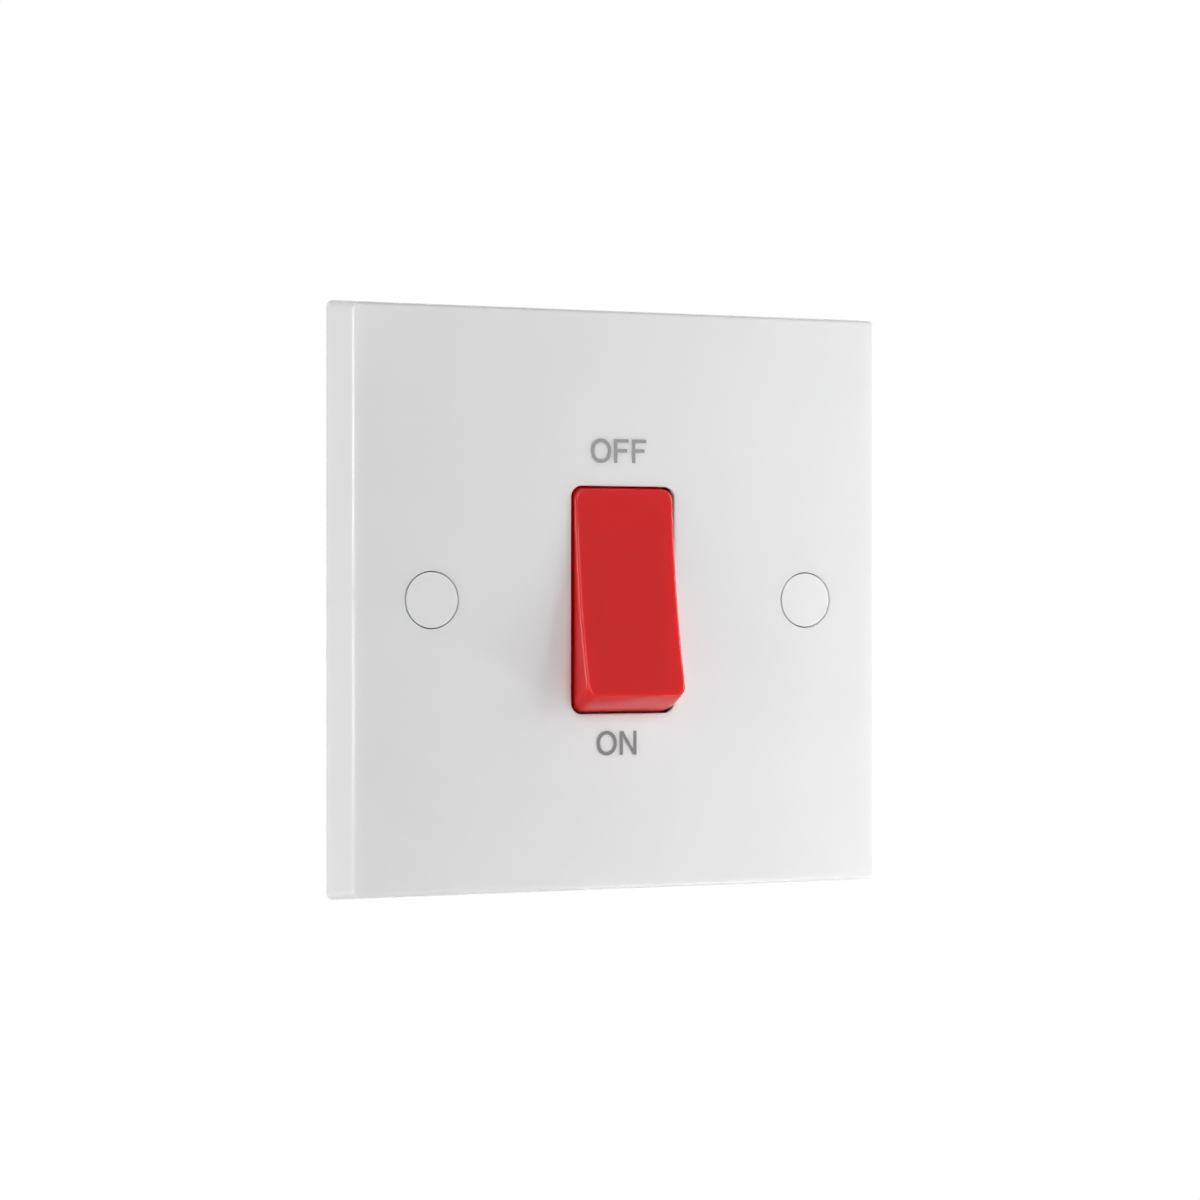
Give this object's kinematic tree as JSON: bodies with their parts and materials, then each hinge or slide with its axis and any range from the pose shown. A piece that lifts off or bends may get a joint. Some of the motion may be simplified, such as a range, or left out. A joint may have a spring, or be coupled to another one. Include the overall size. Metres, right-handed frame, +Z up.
{
  "type": "cooker switch",
  "caption": "Square white wall plate with a red rocker marked OFF and ON, round screw caps, and a double-pole switch housing with pillar terminals behind.",
  "frame": {"origin": "centre of the plate's rear rim, in the wall plane, midway between the two fixing screws", "axes": "+X to the right seen from the front, +Y into the wall, +Z up"},
  "size_m": [0.086, 0.0353, 0.086],
  "materials": {
    "white_plastic": "smooth white moulded",
    "red_plastic": "smooth red moulded",
    "grey_thermoset": "dull dark moulded",
    "nylon": "natural nylon",
    "brass": "machined",
    "copper": "rolled copper strip",
    "silver_contact": "silver alloy rivet",
    "plated_steel": "zinc plated",
    "spring_steel": "drawn wire"
  },
  "bodies": {
    "root": {"faceplate": "white_plastic", "switch_housing": "grey_thermoset", "earth_terminal": "brass", "fixing_screw_left": "plated_steel", "fixed_contact_left": "silver_contact", "feed_strap_left": "brass", "load_strap_left": "brass", "feed_terminal_left": "brass", "load_terminal_left": "brass", "housing_screw_bottom_left": "plated_steel", "housing_screw_top_left": "plated_steel", "fixing_screw_right": "plated_steel", "fixed_contact_right": "silver_contact", "feed_strap_right": "brass", "load_strap_right": "brass", "feed_terminal_right": "brass", "load_terminal_right": "brass", "housing_screw_bottom_right": "plated_steel", "housing_screw_top_right": "plated_steel"},
    "rocker": {"rocker": "red_plastic", "plunger_spring_left": "spring_steel", "plunger_spring_right": "spring_steel"},
    "earth_screw": {"earth_screw": "plated_steel"},
    "cap_left": {"cap_left": "white_plastic"},
    "plunger_left": {"plunger_left": "nylon"},
    "contact_lever_left": {"contact_lever_left": "copper", "moving_contact_left": "silver_contact"},
    "feed_screw_left": {"feed_screw_left": "plated_steel"},
    "load_screw_left": {"load_screw_left": "plated_steel"},
    "cap_right": {"cap_right": "white_plastic"},
    "plunger_right": {"plunger_right": "nylon"},
    "contact_lever_right": {"contact_lever_right": "copper", "moving_contact_right": "silver_contact"},
    "feed_screw_right": {"feed_screw_right": "plated_steel"},
    "load_screw_right": {"load_screw_right": "plated_steel"}
  },
  "joints": [
    {"name": "rocker_hinge", "type": "hinge", "parent": "root", "child": "rocker", "pos_m": [0, -0.004, 0], "axis": [1, 0, 0], "range_deg": [0, 17.5]},
    {"name": "plunger_slide_left", "type": "slide", "parent": "rocker", "child": "plunger_left", "axis": [0, -0.9884, 0.1521], "range_m": [0, 0.0012], "stiffness_N_per_m": 300, "deforming": ["plunger_spring_left"]},
    {"name": "contact_lever_left_hinge", "type": "hinge", "parent": "root", "child": "contact_lever_left", "pos_m": [0, 0.0086, 0], "axis": [1, 0, 0], "range_deg": [-13.5, 0]},
    {"name": "cap_left_slide", "type": "slide", "parent": "root", "child": "cap_left", "axis": [0, -1, 0], "range_m": [0, 0.006]},
    {"name": "feed_screw_left_slide", "type": "slide", "parent": "root", "child": "feed_screw_left", "axis": [0, -1, 0], "range_m": [0, 0.0036]},
    {"name": "load_screw_left_slide", "type": "slide", "parent": "root", "child": "load_screw_left", "axis": [0, -1, 0], "range_m": [0, 0.0036]},
    {"name": "plunger_slide_right", "type": "slide", "parent": "rocker", "child": "plunger_right", "axis": [0, -0.9884, 0.1521], "range_m": [0, 0.0012], "stiffness_N_per_m": 300, "deforming": ["plunger_spring_right"]},
    {"name": "contact_lever_right_hinge", "type": "hinge", "parent": "root", "child": "contact_lever_right", "pos_m": [0, 0.0086, 0], "axis": [1, 0, 0], "range_deg": [-13.5, 0]},
    {"name": "cap_right_slide", "type": "slide", "parent": "root", "child": "cap_right", "axis": [0, -1, 0], "range_m": [0, 0.006]},
    {"name": "feed_screw_right_slide", "type": "slide", "parent": "root", "child": "feed_screw_right", "axis": [0, -1, 0], "range_m": [0, 0.0036]},
    {"name": "load_screw_right_slide", "type": "slide", "parent": "root", "child": "load_screw_right", "axis": [0, -1, 0], "range_m": [0, 0.0036]},
    {"name": "earth_screw_slide", "type": "slide", "parent": "root", "child": "earth_screw", "axis": [0, -1, 0], "range_m": [0, 0.0028]}
  ],
  "couplings": [
    {"joint": "contact_lever_left_hinge", "follows": "rocker_hinge", "ratio": -0.7714},
    {"joint": "contact_lever_right_hinge", "follows": "rocker_hinge", "ratio": -0.7714}
  ]
}
